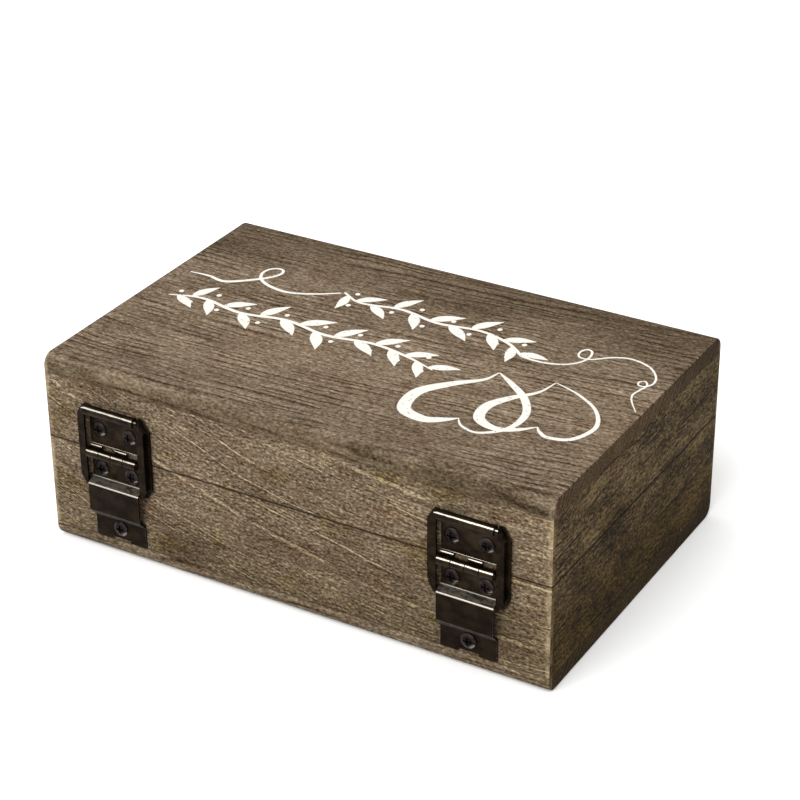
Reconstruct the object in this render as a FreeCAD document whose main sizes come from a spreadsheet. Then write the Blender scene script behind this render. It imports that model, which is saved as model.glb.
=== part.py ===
"""Hinged wooden keepsake box: ten glued boards and two snap-support hinges of bent sheet metal.

Millimetres. The origin is the middle of the box's underside, +X runs along the box's length,
+Y points out of the back, where the hinges are, and +Z is up.
"""
import FreeCAD
import Part
import Sketcher

import math
import os
import re

doc = FreeCAD.newDocument("keepsake_box")

# ---------------------------------------------------------------- driving dimensions
SIZES = [
    ("box_length", 200.0, "overall, along X"),
    ("box_width", 130.5, "overall, front to back"),
    ("box_height", 74.0, "overall, closed"),
    ("seam_height", 42.0, "from the underside to the middle of the saw cut"),
    ("seam_gap", 0.3, "width of the saw cut between base and lid"),
    ("wall_thickness", 9.5, "walls and ends, mitred where they meet"),
    ("top_thickness", 6.5, "lid panel"),
    ("bottom_thickness", 6.5, "base panel"),
    ("edge_radius", 4.5, "rounding of the four long outer edges"),
    ("end_radius", 0.8, "rounding of the edges round both ends of the box"),
    ("hinge_inset", 29.7, "from each end of the box to the middle of its hinge"),
    ("sheet_metal", 0.8, "thickness of every bent sheet"),
    ("bend_radius", 0.3, "inside radius of the sheet's bends"),
    ("leaf_width", 20.8, "both hinge leaves, along the pin"),
    ("pin_out", 2.8, "pin axis, out from the wood's back face"),
    ("pin_radius", 0.9, "hinge pin"),
    ("pin_overhang", 0.4, "each end of the pin past the knuckles"),
    ("pin_chamfer", 0.3, "broken edge of the pin's ends"),
    ("knuckle_count", 4.0, "knuckles along the pin, lid leaf and base leaf in turn"),
    ("knuckle_gap", 0.3, "between neighbouring knuckles"),
    ("running_fit", 0.05, "radial clearance of a turning pivot"),
    ("joggle_end", 1.9, "from the pin to where the leaf starts to drop to the wood"),
    ("joggle_run", 0.7, "height over which the leaf drops to the wood"),
    ("swing_gap", 0.3, "clearance between parts that move past each other"),
    ("pivot_rise", 17.0, "from the hinge pin up to the link's pivot"),
    ("pivot_radius", 1.0, "link's upper bar, held in the lid leaf's curled edge"),
    ("curl_mouth", 1.5, "slit left under the curled edge"),
    ("screw_inset", 4.0, "from a leaf's side edge in to its screws"),
    ("lid_screw_rise", 9.1, "lid leaf's screws, above the pin"),
    ("base_screw_drop", 6.6, "base leaf's screws, below the pin"),
    ("tongue_screw_up", 5.2, "tongue's screw, above the foot's lower edge"),
    ("shank_radius", 1.4, "wood screw"),
    ("tip_length", 2.2, "cone at the screw's point"),
    ("head_radius", 2.9, "screw head, seated on the sheet"),
    ("head_edge", 0.3, "upright rim of the screw head"),
    ("head_dome", 0.7, "rise of the head's domed top"),
    ("cross_width", 0.75, "arm of the cross recess"),
    ("cross_length", 3.0, "cross recess, end to end"),
    ("cross_depth", 0.9, "cross recess, below the top of the dome"),
    ("pilot_extra", 0.2, "pilot hole past the screw's point"),
    ("pilot_cover", 1.3, "wood left past a pilot hole"),
    ("held_fit", 0.02, "radial clearance of a pin or screw held in its hole"),
    ("rail_width", 2.8, "link's side rails"),
    ("rail_side_gap", 0.7, "between the leaf's edge and the link's rail"),
    ("link_proud", 0.4, "link's front face, out past the pin axis"),
    ("flange_back", 0.6, "link's flange edge, out from the wood"),
    ("brim_width", 1.4, "link's out-turned brim along the wood"),
    ("corner_radius", 1.2, "rounding of the link's outer corners"),
    ("link_top_over", 1.0, "link above its pivot"),
    ("top_clip_across", 2.6, "link's upper clipped corner"),
    ("top_clip_down", 4.4, "link's upper clipped corner"),
    ("slide_radius", 0.8, "link's lower bar, which slides behind the tongue"),
    ("slide_out", 1.2, "axis of the lower bar, out from the wood"),
    ("link_under", 0.6, "link below its lower bar's axis"),
    ("bottom_clip_across", 2.0, "link's lower clipped corner"),
    ("bottom_clip_up", 3.7, "link's lower clipped corner"),
    ("tongue_overhang", 0.3, "each side of the spring tongue past the leaf's edge"),
    ("tongue_out", 4.0, "tongue's raised face, out from the wood"),
    ("lip_drop", 12.2, "from the pin down to the tongue's upper bend"),
    ("lip_depth", 3.0, "tongue's upper lip, towards the wood"),
    ("lip_rise", 2.0, "tongue's upper lip, upwards"),
    ("lip_gap", 0.2, "between the base leaf's lower edge and the lip"),
    ("raised_length", 11.0, "raised part of the tongue"),
    ("ramp_length", 3.4, "height over which the tongue drops to the wood"),
    ("foot_length", 8.4, "flat foot of the tongue"),
    ("notch_width", 7.6, "shallow notch in the foot's edge"),
    ("notch_depth", 1.0, "shallow notch in the foot's edge"),
]

sheet = doc.addObject("Spreadsheet::Sheet", "Sizes")
for row, (alias, value, note) in enumerate(SIZES, start=1):
    sheet.set(f"A{row}", alias)
    sheet.set(f"B{row}", str(value))
    sheet.set(f"C{row}", note)
    sheet.setAlias(f"B{row}", alias)
doc.recompute()

KNOWN = {alias for alias, _, _ in SIZES}


def of_sheet(formula):
    """The formula with the sheet's name put before each of its aliases."""
    return re.sub(r"[a-z_]+", lambda word: f"Sizes.{word[0]}" if word[0] in KNOWN else word[0], formula)


def drive(feature, path, formula):
    """Binds one size or place of a feature to the sheet."""
    feature.setExpression(path, of_sheet(formula))


# ---------------------------------------------------------------- sizes that follow from these
SCREW_ACROSS = "(leaf_width / 2 - screw_inset)"
SHANK_LENGTH = "(wall_thickness - pilot_cover - pilot_extra)"
TONGUE_WIDTH = "(leaf_width + 2 * tongue_overhang)"
RAMP_TOP = "(-lip_drop - raised_length)"
FOOT_TOP = f"({RAMP_TOP} - ramp_length)"
FOOT_BOTTOM = f"({FOOT_TOP} - foot_length)"
TONGUE_SCREW = f"({FOOT_BOTTOM} + tongue_screw_up)"
BASE_LEAF_BOTTOM = "(-lip_drop + lip_rise + lip_gap)"
KNUCKLE_RADIUS = "(pin_radius + running_fit + sheet_metal)"
KNUCKLE_BACK = f"(pin_out - {KNUCKLE_RADIUS})"
CURL_RADIUS = "(pivot_radius + running_fit + sheet_metal)"
CURL_BACK = f"(pin_out - {CURL_RADIUS})"
KNUCKLE_LENGTH = "((leaf_width - (knuckle_count - 1) * knuckle_gap) / knuckle_count)"
KNUCKLE_PITCH = f"({KNUCKLE_LENGTH} + knuckle_gap)"
LINK_INNER = "(leaf_width / 2 + rail_side_gap)"
LINK_OUTER = f"({LINK_INNER} + rail_width)"
LINK_FRONT = "(pin_out + link_proud)"
LINK_TOP = "(pivot_rise + link_top_over)"
# The link's lower bar lies under the tongue's sloping lip, at the swing gap from it.
LIP_ANGLE = "atan(lip_rise / lip_depth)"
SLIDE_UP = (f"(-lip_drop - (slide_radius + sheet_metal + swing_gap"
            f" - (tongue_out - slide_out) * sin({LIP_ANGLE})) / cos({LIP_ANGLE}))")
LINK_BOTTOM = f"({SLIDE_UP} - link_under)"

# Points on a screw head's dome: shares of the head's radius and of the dome's rise.
DOME_POINTS = ((0.72, 0.55), (0.4, 0.88))
# A sheet's bend turns by an angle between these, in degrees; a cut edge turns by 90.
LEAST_BEND = 5
MOST_BEND = 80
# How near two places or directions are that count as the same.
NEAR = 0.01
PARALLEL = 0.999


# ---------------------------------------------------------------- sketches and features
def new_body(label, x, y, z):
    """An empty body with its own name, placed by three formulas."""
    body = doc.addObject("PartDesign::Body", label)
    body.Label = label
    drive(body, "Placement.Base.x", x)
    drive(body, "Placement.Base.y", y)
    drive(body, "Placement.Base.z", z)
    return body


def new_sketch(body, name, role, offset="0"):
    """A sketch on one of the body's origin planes, moved along that plane's normal."""
    sketch = body.newObject("Sketcher::SketchObject", name)
    plane = next(f for f in body.Origin.OriginFeatures if f.Role == role)
    sketch.AttachmentSupport = [(plane, "")]
    sketch.MapMode = "FlatFace"
    drive(sketch, "AttachmentOffset.Base.z", offset)
    return sketch


def place_point(sketch, edge, end, x, y):
    """Dimensions one point of the sketch from the sketch's origin."""
    for kind, formula in (("DistanceX", x), ("DistanceY", y)):
        index = sketch.addConstraint(Sketcher.Constraint(kind, -1, 1, edge, end, 1.0))
        drive(sketch, f"Constraints[{index}]", formula)


def add_outline(sketch, corners):
    """A closed outline of straight edges through the corners, each given by two formulas."""
    turn = FreeCAD.Rotation(FreeCAD.Vector(0, 0, 1), 360 / len(corners))
    start = FreeCAD.Vector(1, 0, 0)
    first = sketch.GeometryCount
    for _ in corners:
        end = turn.multVec(start)
        sketch.addGeometry(Part.LineSegment(start, end))
        start = end
    for i, (x, y) in enumerate(corners):
        before = first + (i - 1) % len(corners)
        sketch.addConstraint(Sketcher.Constraint("Coincident", before, 2, first + i, 1))
        place_point(sketch, first + i, 1, x, y)


def add_rectangle(sketch, left, right, low, high):
    """A rectangle between two formulas across and two formulas up."""
    add_outline(sketch, [(left, low), (right, low), (right, high), (left, high)])


def add_circle(sketch, x, y, radius):
    """A circle with its centre and its radius given by formulas."""
    circle = Part.Circle(FreeCAD.Vector(0, 0, 0), FreeCAD.Vector(0, 0, 1), 1)
    edge = sketch.addGeometry(circle)
    place_point(sketch, edge, 3, x, y)
    index = sketch.addConstraint(Sketcher.Constraint("Radius", edge, 1.0))
    drive(sketch, f"Constraints[{index}]", radius)


def pad(body, sketch, length, centred=False, reverse=False):
    """Adds the sketch's outline to the body, one way or evenly both ways."""
    feature = body.newObject("PartDesign::Pad", f"{sketch.Name}_pad")
    feature.Profile = sketch
    feature.Midplane = centred
    feature.Reversed = reverse
    drive(feature, "Length", length)
    doc.recompute()
    return feature


def pocket(body, sketch, length, centred=False, reverse=False):
    """Cuts the sketch's outline out of the body, and stops the build if nothing was cut."""
    before = body.Shape.Volume
    feature = body.newObject("PartDesign::Pocket", f"{sketch.Name}_pocket")
    feature.Profile = sketch
    feature.Midplane = centred
    feature.Reversed = reverse
    drive(feature, "Length", length)
    doc.recompute()
    if not body.Shape.Volume < before:
        raise RuntimeError(f"{feature.Name} cuts nothing")
    return feature


def middle_of(edge):
    """The middle of a straight edge, in its body's own frame."""
    return (edge.Vertexes[0].Point + edge.Vertexes[-1].Point) / 2


def round_edges(body, name, radius, wanted, along=FreeCAD.Vector(1, 0, 0)):
    """Rounds the body's straight edges along one direction that are wanted."""
    base = body.Tip
    names = []
    for number, edge in enumerate(base.Shape.Edges, start=1):
        straight = len(edge.Vertexes) == 2 and edge.Curve.TypeId == "Part::GeomLine"
        if straight and abs(edge.Curve.Direction.dot(along)) > PARALLEL and wanted(edge):
            names.append(f"Edge{number}")
    fillet = body.newObject("PartDesign::Fillet", name)
    fillet.Base = (base, names)
    drive(fillet, "Radius", radius)
    doc.recompute()
    return fillet


def turn_of(shape, edge):
    """The bend at an edge: how far the face turns there, in degrees, below 0 on the inside of a bend."""
    middle = middle_of(edge)
    normals = []
    for face in shape.ancestorsOfType(edge, Part.Face):
        normals.append(face.normalAt(*face.Surface.parameter(middle)))
    outwards = (normals[0] - normals[1]).multiply(NEAR)
    turn = math.degrees(normals[0].getAngle(normals[1]))
    return -turn if shape.isInside(middle + outwards, NEAR / 100, False) else turn


def round_bends(body, label):
    """Rounds a sheet's bends, whose faces turn by less than the right angle of a cut edge."""
    for name, radius, sign in (("inner", "bend_radius", -1), ("outer", "bend_radius + sheet_metal", 1)):
        shape = body.Tip.Shape
        round_edges(body, f"{label}_{name}_bends", radius,
                    lambda edge: LEAST_BEND < sign * turn_of(shape, edge) < MOST_BEND)


# ---------------------------------------------------------------- boards
def board(label, floor, corners, high):
    """One board: its outline in plan, about the middle of the box, raised from the floor."""
    body = new_body(label, "0", "0", floor)
    outline = new_sketch(body, f"{label}_outline", "XY_Plane")
    add_outline(outline, corners)
    pad(body, outline, high)
    return body


def panel(label, floor, high):
    """A board over the whole footprint of the box."""
    x, y = "box_length / 2", "box_width / 2"
    return board(label, floor, [(f"-{x}", f"-{y}"), (x, f"-{y}"), (x, y), (f"-{x}", y)], high)


def round_ends(body, label):
    """Rounds a board's upright corners, and the edges that run on from them round its ends."""
    round_edges(body, f"{label}_end_rounding", "end_radius",
                lambda edge: abs(middle_of(edge).x) > NEAR and abs(middle_of(edge).y) > NEAR,
                along=FreeCAD.Vector(0, 0, 1))


def mitred_wall(label, floor, high, waste):
    """One upright board: the whole footprint with its corners rounded, less the waste."""
    body = panel(label, floor, high)
    round_ends(body, label)
    cut = new_sketch(body, f"{label}_waste", "XY_Plane")
    add_outline(cut, waste)
    pocket(body, cut, high, reverse=True)
    return body


def mitred_walls(half, floor, high):
    """The four upright boards of one half, mitred where they meet. Returns the back one."""
    inner_x, inner_y = "(box_length / 2 - wall_thickness)", "(box_width / 2 - wall_thickness)"
    outer_x, outer_y = "(box_length / 2 + wall_thickness)", "(box_width / 2 + wall_thickness)"
    for side, sign, away in (("left", "-", ""), ("right", "", "-")):
        mitred_wall(f"{half}_{side}_end", floor, high, [
            (f"{sign}{inner_x}", inner_y), (f"{sign}{outer_x}", outer_y),
            (f"{away}{outer_x}", outer_y), (f"{away}{outer_x}", f"-{outer_y}"),
            (f"{sign}{outer_x}", f"-{outer_y}"), (f"{sign}{inner_x}", f"-{inner_y}"),
        ])
    for side, sign, away in (("front", "-", ""), ("back", "", "-")):
        wall = mitred_wall(f"{half}_{side}_wall", floor, high, [
            (inner_x, f"{sign}{inner_y}"), (outer_x, f"{sign}{outer_y}"),
            (outer_x, f"{away}{outer_y}"), (f"-{outer_x}", f"{away}{outer_y}"),
            (f"-{outer_x}", f"{sign}{outer_y}"), (f"-{inner_x}", f"{sign}{inner_y}"),
        ])
    return wall


def pilot_holes(body, label, places):
    """Blind holes for the screws of both hinges, from the back wall's outer face inwards."""
    holes = new_sketch(body, f"{label}_pilots", "XZ_Plane", "-box_width / 2")
    for side in (1, -1):
        for across, up in places:
            add_circle(holes, f"{side} * (box_length / 2 - hinge_inset) + ({across})", up,
                       "shank_radius + held_fit")
    pocket(body, holes, f"{SHANK_LENGTH} + pilot_extra", reverse=True)


# The base: a bottom panel under four walls. Its lower long edges are rounded.
base_panel = panel("base_bottom_panel", "0", "bottom_thickness")
round_edges(base_panel, "base_bottom_rounding", "edge_radius", lambda edge: middle_of(edge).z < NEAR)
round_ends(base_panel, "base_bottom_panel")
base_back = mitred_walls("base", "bottom_thickness",
                         "seam_height - seam_gap / 2 - bottom_thickness")
pilot_holes(base_back, "base_back_wall", [
    (f"-{SCREW_ACROSS}", "seam_height - base_screw_drop - bottom_thickness"),
    (SCREW_ACROSS, "seam_height - base_screw_drop - bottom_thickness"),
    ("0", f"seam_height + {TONGUE_SCREW} - bottom_thickness"),
])

# The lid: four walls under a top panel. Its upper long edges are rounded.
lid_floor = "(seam_height + seam_gap / 2)"
lid_back = mitred_walls("lid", lid_floor, f"box_height - top_thickness - {lid_floor}")
pilot_holes(lid_back, "lid_back_wall", [
    (f"-{SCREW_ACROSS}", f"seam_height + lid_screw_rise - {lid_floor}"),
    (SCREW_ACROSS, f"seam_height + lid_screw_rise - {lid_floor}"),
])
lid_panel = panel("lid_top_panel", "box_height - top_thickness", "top_thickness")
top_face = float(sheet.top_thickness)
round_edges(lid_panel, "lid_top_rounding", "edge_radius",
            lambda edge: middle_of(edge).z > top_face - NEAR)
round_ends(lid_panel, "lid_top_panel")


# ---------------------------------------------------------------- hinges
# Each hinge piece is drawn about the middle of its hinge's pin line, on the wood's back face:
# sketches on the YZ plane have "out from the wood" across and "up from the pin" upwards.


def hinge_body(label, side):
    """A body at the middle of one hinge: side is 1 for the right hinge and -1 for the left."""
    return new_body(label, f"{side} * (box_length / 2 - hinge_inset)", "box_width / 2", "seam_height")


def turned_corner(rise, run):
    """How far a bend's outer corner is moved along the sheet by the sheet's thickness."""
    return f"sheet_metal * tan(atan(({rise}) / ({run})) / 2)"


def knuckle_columns(body, label, first):
    """Cuts every second knuckle's place out of the leaf and its joggle, from the +X end."""
    gaps = new_sketch(body, f"{label}_gaps", "XZ_Plane")
    reach = f"(max({KNUCKLE_RADIUS} + swing_gap; joggle_end + joggle_run) + bend_radius)"
    for number in range(first, int(sheet.knuckle_count), 2):
        start = f"leaf_width / 2 - {number} * {KNUCKLE_PITCH} + knuckle_gap"
        end = f"leaf_width / 2 - {number + 1} * {KNUCKLE_PITCH}"
        add_rectangle(gaps, end, start, f"-{reach}", reach)
    pocket(body, gaps, "4 * pin_out + 4 * sheet_metal", centred=True)


def countersink(body, label, across, up):
    """A conical screw hole through the sheet, its wide end outwards."""
    hole = body.newObject("PartDesign::SubtractiveCone", label)
    plane = next(f for f in body.Origin.OriginFeatures if f.Role == "XZ_Plane")
    hole.AttachmentSupport = [(plane, "")]
    hole.MapMode = "FlatFace"
    before = body.Shape.Volume
    drive(hole, "Radius1", "shank_radius + sheet_metal")
    drive(hole, "Radius2", "shank_radius")
    drive(hole, "Height", "sheet_metal")
    drive(hole, "AttachmentOffset.Base.x", across)
    drive(hole, "AttachmentOffset.Base.y", up)
    drive(hole, "AttachmentOffset.Base.z", "-sheet_metal")
    doc.recompute()
    if not body.Shape.Volume < before:
        raise RuntimeError(f"{label} cuts nothing")


def barrel(body, label, radius, bore, out, up):
    """A tube along the pin line, over the whole leaf, fused to the sheet and bored."""
    tube = new_sketch(body, f"{label}_tube", "YZ_Plane")
    add_circle(tube, out, up, radius)
    pad(body, tube, "leaf_width", centred=True)
    hole = new_sketch(body, f"{label}_bore", "YZ_Plane")
    add_circle(hole, out, up, bore)
    pocket(body, hole, "2 * leaf_width", centred=True)


def lid_leaf(label, side):
    """Sheet on the lid: knuckles below, a flat plate, and an upper edge curled over the link's bar."""
    body = hinge_body(label, side)
    low = turned_corner(KNUCKLE_BACK, "joggle_run")
    high = turned_corner(CURL_BACK, "joggle_run")
    curl_start = "pivot_rise - joggle_end + sheet_metal / 2"
    strip = new_sketch(body, f"{label}_strip", "YZ_Plane")
    add_outline(strip, [
        (KNUCKLE_BACK, "0"),
        (f"{KNUCKLE_BACK} + sheet_metal", "0"),
        (f"{KNUCKLE_BACK} + sheet_metal", f"joggle_end + {low}"),
        ("sheet_metal", f"joggle_end + joggle_run + {low}"),
        ("sheet_metal", f"{curl_start} - joggle_run - {high}"),
        (f"{CURL_BACK} + sheet_metal", f"{curl_start} - {high}"),
        (f"{CURL_BACK} + sheet_metal", "pivot_rise"),
        (CURL_BACK, "pivot_rise"),
        (CURL_BACK, curl_start),
        ("0", f"{curl_start} - joggle_run"),
        ("0", "joggle_end + joggle_run"),
        (KNUCKLE_BACK, "joggle_end"),
    ])
    pad(body, strip, "leaf_width", centred=True)
    round_bends(body, label)
    barrel(body, f"{label}_knuckle", KNUCKLE_RADIUS, "pin_radius + running_fit", "pin_out", "0")
    barrel(body, f"{label}_curl", CURL_RADIUS, "pivot_radius + running_fit", "pin_out", "pivot_rise")
    mouth = new_sketch(body, f"{label}_mouth", "YZ_Plane")
    add_rectangle(mouth, f"{CURL_BACK} + sheet_metal", f"{CURL_BACK} + sheet_metal + curl_mouth",
                  f"pivot_rise - 2 * {CURL_RADIUS}", "pivot_rise")
    pocket(body, mouth, "2 * leaf_width", centred=True)
    knuckle_columns(body, label, 1)
    for number, across in enumerate((SCREW_ACROSS, f"-{SCREW_ACROSS}"), start=1):
        countersink(body, f"{label}_hole_{number}", across, "lid_screw_rise")
    return body


def base_leaf(label, side):
    """Sheet on the base: knuckles above and a flat plate that ends over the tongue's lip."""
    body = hinge_body(label, side)
    shift = turned_corner(KNUCKLE_BACK, "joggle_run")
    strip = new_sketch(body, f"{label}_strip", "YZ_Plane")
    add_outline(strip, [
        (KNUCKLE_BACK, "0"),
        (KNUCKLE_BACK, "-joggle_end"),
        ("0", "-joggle_end - joggle_run"),
        ("0", BASE_LEAF_BOTTOM),
        ("sheet_metal", BASE_LEAF_BOTTOM),
        ("sheet_metal", f"-joggle_end - joggle_run - {shift}"),
        (f"{KNUCKLE_BACK} + sheet_metal", f"-joggle_end - {shift}"),
        (f"{KNUCKLE_BACK} + sheet_metal", "0"),
    ])
    pad(body, strip, "leaf_width", centred=True)
    round_bends(body, label)
    barrel(body, f"{label}_knuckle", KNUCKLE_RADIUS, "pin_radius + held_fit", "pin_out", "0")
    knuckle_columns(body, label, 0)
    for number, across in enumerate((SCREW_ACROSS, f"-{SCREW_ACROSS}"), start=1):
        countersink(body, f"{label}_hole_{number}", across, "-base_screw_drop")
    return body


def hinge_pin(label, side):
    """A plain pin with broken edges, a little longer than the knuckles."""
    body = hinge_body(label, side)
    section = new_sketch(body, f"{label}_section", "YZ_Plane")
    add_circle(section, "pin_out", "0", "pin_radius")
    shaft = pad(body, section, "leaf_width + 2 * pin_overhang", centred=True)
    rims = [f"Edge{n}" for n, edge in enumerate(shaft.Shape.Edges, start=1)
            if hasattr(edge.Curve, "Radius")]
    chamfer = body.newObject("PartDesign::Chamfer", f"{label}_ends")
    chamfer.Base = (shaft, rims)
    drive(chamfer, "Size", "pin_chamfer")
    doc.recompute()
    return body


def link_frame(label, side):
    """The support link: two rails of hat section with clipped corners, joined by two round bars."""
    body = hinge_body(label, side)
    pivot = new_sketch(body, f"{label}_pivot_section", "YZ_Plane")
    add_circle(pivot, "pin_out", "pivot_rise", "pivot_radius")
    top_reach = f"{LINK_OUTER} - top_clip_across * (1 - link_top_over / top_clip_down)"
    pad(body, pivot, f"2 * ({top_reach} - sheet_metal / 4)", centred=True)

    top_inner = f"{LINK_OUTER} - top_clip_across - sheet_metal"
    top_cross = f"{LINK_TOP} - top_clip_down * ({LINK_INNER} - ({top_inner})) / top_clip_across"
    plates = new_sketch(body, f"{label}_plates", "XZ_Plane", f"-({LINK_FRONT} - sheet_metal)")
    flanges = new_sketch(body, f"{label}_flanges", "XZ_Plane", "-flange_back")
    brims = new_sketch(body, f"{label}_brims", "XZ_Plane", "-flange_back")
    for mirror in (1, -1):
        outer = [
            (f"{mirror} * ({LINK_OUTER} - bottom_clip_across)", LINK_BOTTOM),
            (f"{mirror} * {LINK_OUTER}", f"{LINK_BOTTOM} + bottom_clip_up"),
            (f"{mirror} * {LINK_OUTER}", f"{LINK_TOP} - top_clip_down"),
            (f"{mirror} * ({LINK_OUTER} - top_clip_across)", LINK_TOP),
            (f"{mirror} * {LINK_INNER}", LINK_TOP),
        ]
        add_outline(plates, outer + [(f"{mirror} * {LINK_INNER}", LINK_BOTTOM)])
        add_outline(flanges, outer + [
            (f"{mirror} * {LINK_INNER}", top_cross),
            (f"{mirror} * ({LINK_OUTER} - sheet_metal)", f"{LINK_TOP} - top_clip_down"),
            (f"{mirror} * ({LINK_OUTER} - sheet_metal)", f"{LINK_BOTTOM} + bottom_clip_up"),
            (f"{mirror} * ({LINK_OUTER} - sheet_metal - bottom_clip_across)", LINK_BOTTOM),
        ])
        seat = [(f"{mirror} * ({x})", z) for x, z in (
            (f"{LINK_OUTER} - bottom_clip_across", LINK_BOTTOM),
            (LINK_OUTER, f"{LINK_BOTTOM} + bottom_clip_up"),
            (LINK_OUTER, f"{LINK_TOP} - top_clip_down"),
            (f"{LINK_OUTER} - top_clip_across", LINK_TOP),
        )]
        brim = [(f"{x} + {mirror} * brim_width", z) for x, z in seat]
        inside = [(f"{x} - {mirror} * sheet_metal / 2", z) for x, z in seat]
        add_outline(brims, brim + inside[::-1])
    pad(body, plates, "sheet_metal", reverse=True)
    pad(body, flanges, f"{LINK_FRONT} - flange_back - sheet_metal", reverse=True)
    pad(body, brims, "sheet_metal", reverse=True)
    clip = float(sheet.leaf_width) / 2 + float(sheet.rail_side_gap) + float(sheet.sheet_metal)
    shape = body.Tip.Shape
    round_edges(body, f"{label}_corners", "corner_radius",
                lambda edge: abs(middle_of(edge).x) > clip and turn_of(shape, edge) > LEAST_BEND,
                along=FreeCAD.Vector(0, 1, 0))

    slide = new_sketch(body, f"{label}_slide_section", "YZ_Plane")
    add_circle(slide, "slide_out", SLIDE_UP, "slide_radius")
    bottom_reach = f"{LINK_OUTER} - bottom_clip_across * (1 - link_under / bottom_clip_up)"
    pad(body, slide, f"2 * ({bottom_reach} - sheet_metal / 4)", centred=True)
    return body


def spring_tongue(label, side):
    """Spring strip on the base: a foot on the wood, a ramp, a raised part and an inward lip."""
    body = hinge_body(label, side)
    lip = "sheet_metal * tan((90 deg - atan(lip_rise / lip_depth)) / 2)"
    ramp = turned_corner("tongue_out - sheet_metal", "ramp_length")
    lip_length = "sqrt(lip_depth ^ 2 + lip_rise ^ 2)"
    strip = new_sketch(body, f"{label}_strip", "YZ_Plane")
    add_outline(strip, [
        ("0", FOOT_BOTTOM),
        ("sheet_metal", FOOT_BOTTOM),
        ("sheet_metal", FOOT_TOP),
        ("tongue_out", RAMP_TOP),
        ("tongue_out", "-lip_drop"),
        ("tongue_out - lip_depth", "-lip_drop + lip_rise"),
        (f"tongue_out - lip_depth - sheet_metal * lip_rise / {lip_length}",
         f"-lip_drop + lip_rise - sheet_metal * lip_depth / {lip_length}"),
        ("tongue_out - sheet_metal", f"-lip_drop - {lip}"),
        ("tongue_out - sheet_metal", f"{RAMP_TOP} + {ramp}"),
        ("0", f"{FOOT_TOP} + {ramp}"),
    ])
    pad(body, strip, TONGUE_WIDTH, centred=True)
    round_bends(body, label)
    notch = new_sketch(body, f"{label}_notch", "XZ_Plane")
    add_rectangle(notch, "-notch_width / 2", "notch_width / 2", f"{FOOT_BOTTOM} - notch_depth",
                  f"{FOOT_BOTTOM} + notch_depth")
    pocket(body, notch, "4 * sheet_metal", centred=True)
    countersink(body, f"{label}_hole", "0", TONGUE_SCREW)
    return body


def wood_screw(label, side, across, up):
    """A screw with a domed head on a countersunk neck and a cross recess, driven in along -Y."""
    body = new_body(label, f"{side} * (box_length / 2 - hinge_inset) + ({across})", "box_width / 2",
                    f"seam_height + ({up})")
    rim = "(sheet_metal + head_edge)"
    dome = [(f"head_radius * {width}", f"{rim} + head_dome * {rise}") for width, rise in DOME_POINTS]
    half = new_sketch(body, f"{label}_half", "XY_Plane")
    add_outline(half, [
        ("0", f"-{SHANK_LENGTH}"),
        ("shank_radius", f"-{SHANK_LENGTH} + tip_length"),
        ("shank_radius", "0"),
        ("shank_radius + sheet_metal", "sheet_metal"),
        ("head_radius", "sheet_metal"),
        ("head_radius", rim),
        *dome,
        ("0", f"{rim} + head_dome"),
    ])
    turned = body.newObject("PartDesign::Revolution", f"{label}_turned")
    turned.Profile = half
    turned.ReferenceAxis = (half, ["V_Axis"])
    turned.Angle = 360
    doc.recompute()
    cross = new_sketch(body, f"{label}_cross", "XZ_Plane", f"-({rim} + head_dome)")
    arm = "cross_width / 2"
    reach = "cross_length / 2"
    add_outline(cross, [
        (f"-{arm}", f"-{reach}"), (arm, f"-{reach}"), (arm, f"-{arm}"), (reach, f"-{arm}"),
        (reach, arm), (arm, arm), (arm, reach), (f"-{arm}", reach),
        (f"-{arm}", arm), (f"-{reach}", arm), (f"-{reach}", f"-{arm}"), (f"-{arm}", f"-{arm}"),
    ])
    pocket(body, cross, "cross_depth", reverse=True)
    return body


for hand, side in (("left", -1), ("right", 1)):
    lid_leaf(f"lid_leaf_{hand}", side)
    base_leaf(f"base_leaf_{hand}", side)
    hinge_pin(f"hinge_pin_{hand}", side)
    link_frame(f"link_frame_{hand}", side)
    spring_tongue(f"spring_tongue_{hand}", side)
    wood_screw(f"lid_screw_{hand}_1", side, SCREW_ACROSS, "lid_screw_rise")
    wood_screw(f"lid_screw_{hand}_2", side, f"-{SCREW_ACROSS}", "lid_screw_rise")
    wood_screw(f"base_screw_{hand}_1", side, SCREW_ACROSS, "-base_screw_drop")
    wood_screw(f"base_screw_{hand}_2", side, f"-{SCREW_ACROSS}", "-base_screw_drop")
    wood_screw(f"tongue_screw_{hand}", side, "0", TONGUE_SCREW)

# ---------------------------------------------------------------- check and write
doc.recompute()
bodies = [feature for feature in doc.Objects if feature.TypeId == "PartDesign::Body"]
for feature in doc.Objects:
    if "Invalid" in feature.State or "Error" in feature.State:
        raise RuntimeError(f"{feature.Name} did not build: {feature.State}")
for body in bodies:
    if body.Shape.isNull() or not body.Shape.isValid() or len(body.Shape.Solids) != 1:
        raise RuntimeError(f"{body.Label} is not one valid solid")

os.makedirs("parts", exist_ok=True)
for body in bodies:
    body.Shape.exportStep(f"parts/{body.Label}.step")
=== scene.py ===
import math

import bpy
import numpy as np
from mathutils import Matrix, Vector


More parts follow.
